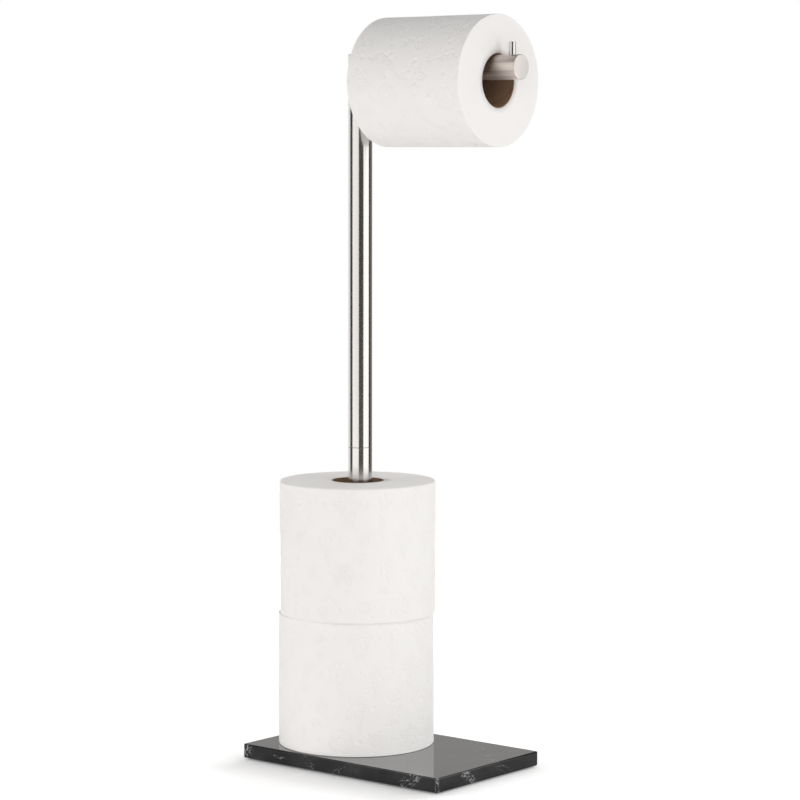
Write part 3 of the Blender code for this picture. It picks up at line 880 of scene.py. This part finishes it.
def lobed_flower(x, y, size, petals):
    """A lobed outline with a ring and a dot inside it."""
    reach = np.hypot(x, y)
    lobes = np.abs(np.cos(petals * np.arctan2(y, x) / 2))
    rim = stroke(reach - size * (0.66 + 0.34 * lobes ** 0.7))
    return np.maximum.reduce([rim, stroke(reach - 0.36 * size), stroke(reach)])


def rings(x, y, size):
    """Two rings and a dot."""
    reach = np.hypot(x, y)
    return np.maximum.reduce([stroke(reach - size), stroke(reach - 0.52 * size), stroke(reach)])


def sprig(x, y, size):
    """A bent stem with leaves to both sides."""
    along = np.clip(y / size, -1, 1)
    marks = [stroke(np.hypot(x - 0.16 * size * np.sin(1.6 * along), y - size * along))]
    for step, side in ((-0.62, 1), (-0.3, -1), (0.02, 1), (0.34, -1), (0.64, 1)):
        leaf_x = x - 0.16 * size * math.sin(1.6 * step) - side * 0.27 * size
        leaf_y = y - size * (step + 0.2)
        tilt = side * math.radians(52)
        length_way = leaf_x * math.sin(tilt) + leaf_y * math.cos(tilt)
        width_way = leaf_x * math.cos(tilt) - leaf_y * math.sin(tilt)
        leaf = np.hypot(length_way / 0.25, width_way / 0.115)
        marks.append(stroke((leaf - size) * 0.15))
    return np.maximum.reduce(marks)


def dot(x, y, size):
    """A round dot."""
    return stroke(np.maximum(np.hypot(x, y) - size, 0))


print("motifs ready, lines", round(1000 * LINE_WIDTH * 2, 1), "mm wide")

# %% Motif layout
MOTIF_PITCH = 0.028
MOTIF_ROWS = 4
MOTIF_REACH = 0.016
POINTED_SIZE = 0.0105
LOBED_SIZE = 0.0088
SPRIG_SIZE = 0.0088
SMALL_SPRIG_SIZE = 0.0046
RING_SIZE = 0.0042
SMALL_RING_SIZE = 0.0011
DOTS_REACH = 0.0078
DOT_SIZE = 0.0002


def pressed_depth(around, along, girth, length, shift):
    """Depth of the motifs, 0 to 1, for points of the unrolled paper."""
    depth = np.zeros_like(around)
    columns = max(4, round(girth / MOTIF_PITCH))
    pitch = girth / columns
    step = length / MOTIF_ROWS

    def press(u, v, turn, draw, *sizes):
        across = (around - u + girth / 2) % girth - girth / 2
        up = along - v
        near = (np.abs(across) < MOTIF_REACH) & (np.abs(up) < MOTIF_REACH)
        x = across[near] * math.cos(turn) + up[near] * math.sin(turn)
        y = up[near] * math.cos(turn) - across[near] * math.sin(turn)
        depth[near] = np.maximum(depth[near], draw(x, y, *sizes))

    for column in range(columns):
        for row in range(MOTIF_ROWS):
            turn = 2.4 * column + 1.1 * row
            u = (column + 0.5 * (row % 2)) * pitch + shift + 0.0022 * math.sin(3.7 * turn)
            v = (row + 0.5) * step + 0.0020 * math.cos(5.1 * turn)
            kind = (column + 2 * row) % 4
            if kind == 0:
                press(u, v, turn, pointed_flower, POINTED_SIZE, 6)
            elif kind == 1:
                press(u, v, 0.5 * math.sin(turn), sprig, SPRIG_SIZE)
            elif kind == 2:
                press(u, v, turn, lobed_flower, LOBED_SIZE, 7)
            else:
                press(u, v, 0, rings, RING_SIZE)
                for k in range(6):
                    angle = turn + k * math.pi / 3
                    press(u + DOTS_REACH * math.cos(angle), v + DOTS_REACH * math.sin(angle), 0,
                          dot, DOT_SIZE)
            press(u + 0.5 * pitch, v, 0, rings, SMALL_RING_SIZE)
            press(u + 0.46 * pitch, v + 0.5 * step, 2.1 * turn, sprig, SMALL_SPRIG_SIZE)
    return depth


print("motifs in", MOTIF_ROWS, "rows, one about every", round(1000 * MOTIF_PITCH), "mm")

# %% [markdown]
# ## The rolls
# Each roll is its cardboard core and its wound paper. Both are ring profiles spun round the roll's
# axis. The paper has a ring every 0.6 to 0.7 mm, and is spun in steps as short, so the motifs can
# sink into it. Three more things make it look wound rather than moulded: its rims are soft, it
# isn't perfectly round, and its last sheet ends in a faint straight step. The hanging roll's layers
# also stand out a little past its core at both ends.

# %% Roll helpers
RIM_SEGMENTS = 6
END_CUTS = 5


def wound_paper(inside, outside, length, rims, spacing):
    """A spun ring with a soft rim at each end, its side and ends divided to a fine grid."""
    half = length / 2
    middle = (inside + outside) / 2
    profile = [(inside, half), (outside, half), (outside, -half), (inside, -half)]
    shape = spun(profile, round(2 * math.pi * outside / spacing), closed=True)
    for side, rim in zip((-1, 1), rims):
        ease(shape, rim, segments=RIM_SEGMENTS,
             where=lambda co: side * co.z > 0.49 * length and math.hypot(co.x, co.y) > middle)
    side = []
    ends = []
    for edge in shape.edges:
        first, last = (vert.co for vert in edge.verts)
        if math.hypot(first.x, first.y) > middle and abs(first.z - last.z) > length / 2:
            side.append(edge)
        if abs(math.hypot(first.x, first.y) - math.hypot(last.x, last.y)) > (outside - inside) / 2:
            ends.append(edge)
    bmesh.ops.subdivide_edges(shape, edges=side, cuts=round((length - sum(rims)) / spacing) - 1)
    bmesh.ops.subdivide_edges(shape, edges=ends, cuts=END_CUTS)
    return shape


def measure_roll(core_node, paper_node, along_axis):
    """Reads a roll's middle, length and two radii off its solids."""
    core_low, core_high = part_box(core_node)
    paper_low, paper_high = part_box(paper_node)
    lengthwise, crosswise = (0, 2) if along_axis == "X" else (2, 0)
    length = paper_high[lengthwise] - paper_low[lengthwise]
    outside = (paper_high[crosswise] - paper_low[crosswise]) / 2
    core_outside = (core_high[crosswise] - core_low[crosswise]) / 2
    return (paper_low + paper_high) / 2, length, outside, core_outside


print("roll helpers ready")

# %% [markdown]
# ## How the paper sinks
# A point of the paper is moved towards the roll's axis by three amounts: the depth of the motifs,
# a slow unevenness, and the step where the last sheet ends, which fades out round the roll. All
# three fade at the rims, so that the flat ends stay flat.

# %% Paper surface
PRESSING = 0.00048
END_STEP = 0.00016
STEP_FADE = 0.12
STEP_RISE = 0.0016
MOTIF_FADE = 0.002
END_SHARE = 0.3


def sunk_paper(points, outside, length, roll):
    """The share of its reach that each point keeps, its pressed depth, and how much it is an end."""
    angle = np.arctan2(points[:, 1], points[:, 0])
    reach = np.hypot(points[:, 0], points[:, 1])
    along = points[:, 2] + length / 2
    rim = np.where(along < length / 2, *roll["rims"])
    girth = 2 * math.pi * outside
    depth = pressed_depth(angle % (2 * math.pi) * outside, along, girth, length, roll["shift"])
    near_end = np.minimum(along, length - along)
    on_side = np.clip((reach - (outside - rim)) / rim, 0, 1)
    depth = depth * np.clip((near_end - END_SHARE * rim) / MOTIF_FADE, 0, 1) * on_side
    past_end = (angle - roll["sheet_ends_at"]) % (2 * math.pi) / (2 * math.pi)
    step = END_STEP * np.clip(1 - past_end / STEP_FADE, 0, 1) * np.clip(past_end / STEP_RISE, 0, 1)
    lumps = roll["lump"] * (
        np.sin(2 * angle + 0.7 + roll["shift"] * 90) + np.sin(3 * angle + 60 * along + 1.9)
        + 0.7 * np.sin(5 * angle - 95 * along + 0.4)
    )
    sink = PRESSING * depth + (step + lumps) * on_side
    at_end = np.clip((END_SHARE * rim - near_end) / (END_SHARE * rim), 0, 1)
    return (reach - sink) / reach, depth, at_end


print("paper pressed", round(1000 * PRESSING, 2), "mm deep")

# %% Roll maker
CORE_WALL = 0.0008
CORE_EDGE = 0.00015
ROLLS = [
    {"name": "hanging_roll", "core": "top_roll_core", "paper": "top_roll_paper",
     "body": "top_roll", "axis": "X",
     "slid": (0.0019, 0.0011), "rims": (0.0009, 0.0009), "grid": 0.00060, "lump": 0.00004,
     "shift": 0.004, "sheet_ends_at": 2.6},
    {"name": "upper_spare", "core": "upper_spare_roll_core", "paper": "upper_spare_roll_paper",
     "body": "upper_spare", "axis": "Z",
     "slid": (0, 0), "rims": (0.00015, 0.0014), "grid": 0.00066, "lump": 0.00013,
     "shift": 0.011, "sheet_ends_at": 2.0},
    {"name": "lower_spare", "core": "lower_spare_roll_core", "paper": "lower_spare_roll_paper",
     "body": "lower_spare", "axis": "Z",
     "slid": (0, 0), "rims": (0.0004, 0.0002), "grid": 0.00066, "lump": 0.00013,
     "shift": 0.021, "sheet_ends_at": -0.35},
]


def make_core(roll, middle, length, outside, turn):
    """One roll's cardboard core, as long as the roll's solid."""
    inside = outside - CORE_WALL
    half = length / 2
    shape = spun([(inside, -half), (outside, -half), (outside, half), (inside, half)], ROUND_STEPS,
                 closed=True)
    ease(shape, CORE_EDGE, segments=2)
    bmesh.ops.rotate(shape, cent=(0, 0, 0), matrix=turn, verts=shape.verts)
    core = finish_piece(roll["name"] + "_core", shape, middle, roll["body"], CARDBOARD,
                        roll["core"])
    map_round(core, "Wrap", middle, roll["axis"], outside)
    weight_normals(core)


def make_roll(roll):
    """One roll: its core, and its paper with motifs, soft rims and the step of its last sheet."""
    middle, length, outside, core_outside = measure_roll(roll["core"], roll["paper"], roll["axis"])
    turn = Matrix.Rotation(math.radians(90), 3, "Y") if roll["axis"] == "X" else Matrix.Identity(3)
    make_core(roll, middle, length, core_outside, turn)

    back, front = roll["slid"]
    length += back + front
    middle = middle + turn @ Vector((0, 0, (front - back) / 2))
    shape = wound_paper(core_outside + FIT, outside, length, roll["rims"], roll["grid"])
    shape.verts.ensure_lookup_table()
    points = np.array([vert.co for vert in shape.verts])
    kept, depth, at_end = sunk_paper(points, outside, length, roll)
    for vert, share in zip(shape.verts, kept):
        vert.co.x *= share
        vert.co.y *= share
    bmesh.ops.rotate(shape, cent=(0, 0, 0), matrix=turn, verts=shape.verts)
    paper = finish_piece(roll["name"] + "_paper", shape, middle, roll["body"], TISSUE,
                         roll["paper"])
    map_round(paper, "Wrap", middle, roll["axis"], outside)
    for label, values in (("pressed", depth), ("at_end", at_end)):
        attribute = paper.data.attributes.new(label, "FLOAT", "POINT")
        attribute.data.foreach_set("value", values.astype(np.float32))
    print(roll["name"], "radius", round(1000 * outside, 1), "mm, length", round(1000 * length, 1))


for roll in ROLLS:
    make_roll(roll)

# %% [markdown]
# ## The floor
# The holder stands on a white floor in a white studio. The floor is lifted to white for the camera
# by a little glow that adds to its lit colour. Less of the glow is given in a patch round the slab,
# shifted a little towards its left side, which paints a soft shadow there over the object's real
# shadow. Near the slab, reflections see the floor painted darker, a painted shade that keeps the
# slab's foot dark.

# %% Stage helpers
WHITE = (1, 1, 1, 1)


def show_in(piece, camera_ray=False, diffuse=False, glossy=True, shadow=False):
    """Says which rays see a piece of the stage."""
    piece.visible_camera = camera_ray
    piece.visible_diffuse = diffuse
    piece.visible_glossy = glossy
    piece.visible_transmission = glossy
    piece.visible_shadow = shadow
    piece.visible_volume_scatter = False


def add_stage(name, shape, material):
    """Makes an object of a shape, for the studio round the holder."""
    piece = make_object(name, shape, material)
    return piece


def mirror_rays(tree):
    """The Light Path's sockets, and one that is 1 for the rays that steel and polish throw."""
    path = add(tree, "ShaderNodeLightPath").outputs
    return path, calculate(tree, "MAXIMUM", path["Is Glossy Ray"], path["Is Transmission Ray"])


print("stage helpers ready")

# %% Floor
FLOOR_RADIUS = 1.3
FLOOR_COLOUR = (0.92, 0.915, 0.91, 1)
FLOOR_PAINTED_SHADE_IN_MIRROR = (0.46, 0.46, 0.46, 1)
FLOOR_LIFT = 0.30
FLOOR_THROWS = 0.05
PAINTED_SHADOW_LIFT = 0.36
PAINTED_SHADOW_REACH = 0.040
PAINTED_SHADOW_SHIFT = (-0.003, -0.018)
PAINTED_SHADOW_NARROWER = 0.022


def make_floor_material():
    """Matt white floor: the object's shadow, a painted shadow round the slab, painted shade in mirrors.
    """
    material, tree, shader = start_material(
        "Studio floor", Roughness=1.0, Specular_IOR_Level=0, Emission_Color=WHITE
    )
    path, mirrored = mirror_rays(tree)
    where = object_place(tree)
    away = calculate_vector(tree, "LENGTH", where)
    # Painted shade: glossy rays near the slab see the floor darker and without its glow.
    mirrored_far = calculate(tree, "MULTIPLY", mirrored, remap(tree, away, 0.18, 0.25, smooth=True))
    mirrored_painted_shade = calculate(tree, "SUBTRACT", mirrored, mirrored_far)
    tone = mix_colours(tree, mirrored_painted_shade, FLOOR_COLOUR, FLOOR_PAINTED_SHADE_IN_MIRROR)
    tree.links.new(tone, shader.inputs["Base Color"])
    seen = calculate(tree, "MAXIMUM", path["Is Camera Ray"], mirrored_far)
    glow = remap(tree, away, 0.3, 0.7, FLOOR_LIFT, 1.0, smooth=True)
    # Painted shadow: the glow is held back in a shifted rectangle round the slab, over its real shadow.
    painted_shadow_middle = (slab_middle.x + PAINTED_SHADOW_SHIFT[0], slab_middle.y + PAINTED_SHADOW_SHIFT[1], 0)
    painted_shadow_half = (slab_size.x / 2 - PAINTED_SHADOW_NARROWER, slab_size.y / 2, 0)
    past = calculate_vector(tree, "SUBTRACT", where, painted_shadow_middle)
    past = calculate_vector(tree, "ABSOLUTE", past)
    past = calculate_vector(tree, "SUBTRACT", past, painted_shadow_half)
    past = calculate_vector(tree, "MAXIMUM", past, (0, 0, 0))
    outside = calculate_vector(tree, "LENGTH", past)
    clear = remap(tree, outside, 0.0, PAINTED_SHADOW_REACH, PAINTED_SHADOW_LIFT, 1.0, smooth=True)
    lift = calculate(tree, "MULTIPLY", calculate(tree, "MULTIPLY", glow, clear), seen)
    thrown = calculate(tree, "MULTIPLY", path["Is Diffuse Ray"], FLOOR_THROWS)
    tree.links.new(calculate(tree, "ADD", lift, thrown), shader.inputs["Emission Strength"])
    return material


shape = bmesh.new()
bmesh.ops.create_circle(shape, cap_ends=True, segments=96, radius=FLOOR_RADIUS)
add_stage("floor", shape, make_floor_material())
print("floor radius", FLOOR_RADIUS, "m")

# %% [markdown]
# ## Light
# Steel shows the studio itself, and paper only its light, so the two are made apart. Six large
# soft boxes light the matt surfaces, and steel doesn't see them. Each covers a spread of azimuths
# seen from the post, and is given as its azimuth, spread, height and brightness.

# %% Soft boxes
RIG_DISTANCE = 1.5
COOL_WHITE = (0.985, 0.992, 1.0)
PLAIN_WHITE = (1, 1, 1)
SOFT_BOXES = [
    ("box_right", 17, 68, 1.8, 0.84, COOL_WHITE),
    ("box_right_narrow", 3, 9, 1.0, 3.45, COOL_WHITE),
    ("box_behind_right", 95, 60, 1.6, 1.60, PLAIN_WHITE),
    ("box_behind", 150, 60, 1.0, 1.00, PLAIN_WHITE),
    ("box_camera_side", -52, 40, 1.2, 2.17, PLAIN_WHITE),
    ("box_left", -135, 40, 1.0, 2.80, PLAIN_WHITE),
]


def add_soft_box(name, azimuth, spread, tall, brightness, colour):
    """A soft box that stands on the floor, faces the post, and isn't seen in reflections."""
    width = 2 * RIG_DISTANCE * math.tan(math.radians(spread / 2))
    data = bpy.data.lights.new(name, "AREA")
    data.shape = "RECTANGLE"
    data.size = width
    data.size_y = tall
    data.energy = brightness * width * tall * math.pi
    data.color = colour
    lamp = new_object(name, data)
    turn = math.radians(azimuth)
    lamp.location = (post_x + RIG_DISTANCE * math.cos(turn), RIG_DISTANCE * math.sin(turn), tall / 2)
    lamp.rotation_euler = (math.radians(90), 0, turn + math.pi / 2)
    lamp.visible_camera = False
    lamp.visible_glossy = False
    print(name, round(width, 2), "m wide,", round(data.energy, 1), "W")


for box in SOFT_BOXES:
    add_soft_box(*box)

# %% [markdown]
# ## What the steel mirrors
# The post's bright and dark bands are the studio, squeezed round a tube: bright panels, and the
# dark gaps between them. So three glowing panels and five dim screens stand round the post, each
# between two azimuths, and only reflections see them. One more sheet lies just over the stone, for
# the light that its polish throws up at the foot of the lowest roll, and only matt surfaces see it.

# %% Reflected panels and screens
NEAR_SCREEN = 0.65
CLOSE_SCREEN = 0.32
SCREEN_TOP = 2.2
SHEET_OVER_STONE = 0.0003
STONE_THROWS = 0.38
WARM = (1.0, 0.91, 0.82, 1)
LEFT_WHITE = (1.0, 0.98, 0.965, 1)
RIGHT_WHITE = (1.0, 0.99, 0.975, 1)
SCREENS = [
    ("panel_left", -136, -60, 1.25, RIG_DISTANCE, 1.0, LEFT_WHITE),
    ("panel_right", -17, 51, 1.48, RIG_DISTANCE, 1.8, RIGHT_WHITE),
    ("screen_behind_camera", -64, -19, 0.085, NEAR_SCREEN, SCREEN_TOP, WARM),
    ("screen_left", -161, -129, 0.06, NEAR_SCREEN, SCREEN_TOP, WARM),
    ("screen_right", 38.5, 63, 0.06, CLOSE_SCREEN, SCREEN_TOP, WARM),
    ("screen_right_edge", 63, 92, 0.22, CLOSE_SCREEN, SCREEN_TOP, WARM),
    ("screen_behind_object", 90, 151, 0.50, NEAR_SCREEN, SCREEN_TOP, LEFT_WHITE),
    ("panel_behind", 151, 180, 1.1, NEAR_SCREEN, SCREEN_TOP, LEFT_WHITE),
]


def make_glow(name, level, colour):
    """A material that only glows."""
    material = bpy.data.materials.new(name)
    material.use_nodes = True
    tree = material.node_tree
    tree.nodes.clear()
    glow = add(tree, "ShaderNodeEmission", {"Color": colour, "Strength": level})
    add(tree, "ShaderNodeOutputMaterial", {"Surface": glow.outputs[0]})
    return material


def add_screen(name, first, last, level, distance, top, colour):
    """An upright screen between two azimuths, which only reflections see."""
    shape = bmesh.new()
    start = math.radians(first)
    foot = (distance * math.cos(start), distance * math.sin(start))
    edge = [shape.verts.new((*foot, z)) for z in (0.0, top)]
    line = shape.edges.new(edge)
    bmesh.ops.spin(shape, geom=edge + [line], cent=(0, 0, 0), axis=(0, 0, 1),
                   angle=math.radians(last - first), steps=12)
    bmesh.ops.translate(shape, vec=(post_x, 0, 0), verts=shape.verts)
    show_in(add_stage(name, shape, make_glow(name, level, colour)))


for screen in SCREENS:
    add_screen(*screen)
shape = bmesh.new()
bmesh.ops.create_grid(shape, x_segments=1, y_segments=1, size=0.5)
bmesh.ops.scale(shape, vec=(slab_size.x, slab_size.y, 1), verts=shape.verts)
bmesh.ops.translate(shape, vec=(slab_middle.x, slab_middle.y, slab_high.z + SHEET_OVER_STONE),
                    verts=shape.verts)
sheet = add_stage("light_off_stone", shape, make_glow("light off the stone", STONE_THROWS, WHITE))
show_in(sheet, diffuse=True, glossy=False)
print(len(SCREENS), "panels and screens, and the light that the polished stone throws up")

# %% [markdown]
# ## The world
# To the camera the world is plain white. Reflections see it white near the horizon and dim towards
# the ceiling, which keeps the level faces from glaring, and matt surfaces get a soft light from
# above.

# %% World
GLOSSY_SKY = 1.0
CEILING = 0.08
SOFT_SKY = 0.37

world = bpy.data.worlds.new("Studio")
bpy.context.scene.world = world
world.use_nodes = True
tree = world.node_tree
tree.nodes.clear()
way = add(tree, "ShaderNodeTexCoord").outputs["Generated"]
height = add(tree, "ShaderNodeSeparateXYZ", {0: way}).outputs["Z"]
reflected = remap(tree, height, 0.52, 0.80, GLOSSY_SKY, CEILING, smooth=True)
soft = remap(tree, height, 0.26, 0.34, 0.0, SOFT_SKY, smooth=True)
path, mirrored = mirror_rays(tree)
strength = mix_values(tree, mirrored, soft, reflected)
strength = mix_values(tree, path["Is Camera Ray"], strength, 1.0)
sky = add(tree, "ShaderNodeBackground", {"Color": WHITE, "Strength": strength})
add(tree, "ShaderNodeOutputWorld", {"Surface": sky.outputs[0]})
print("world ready")

# %% [markdown]
# ## Finish
# The Standard view shows a colour as it is written.

# %% View
bpy.context.scene.view_settings.view_transform = "Standard"
bpy.context.view_layer.update()
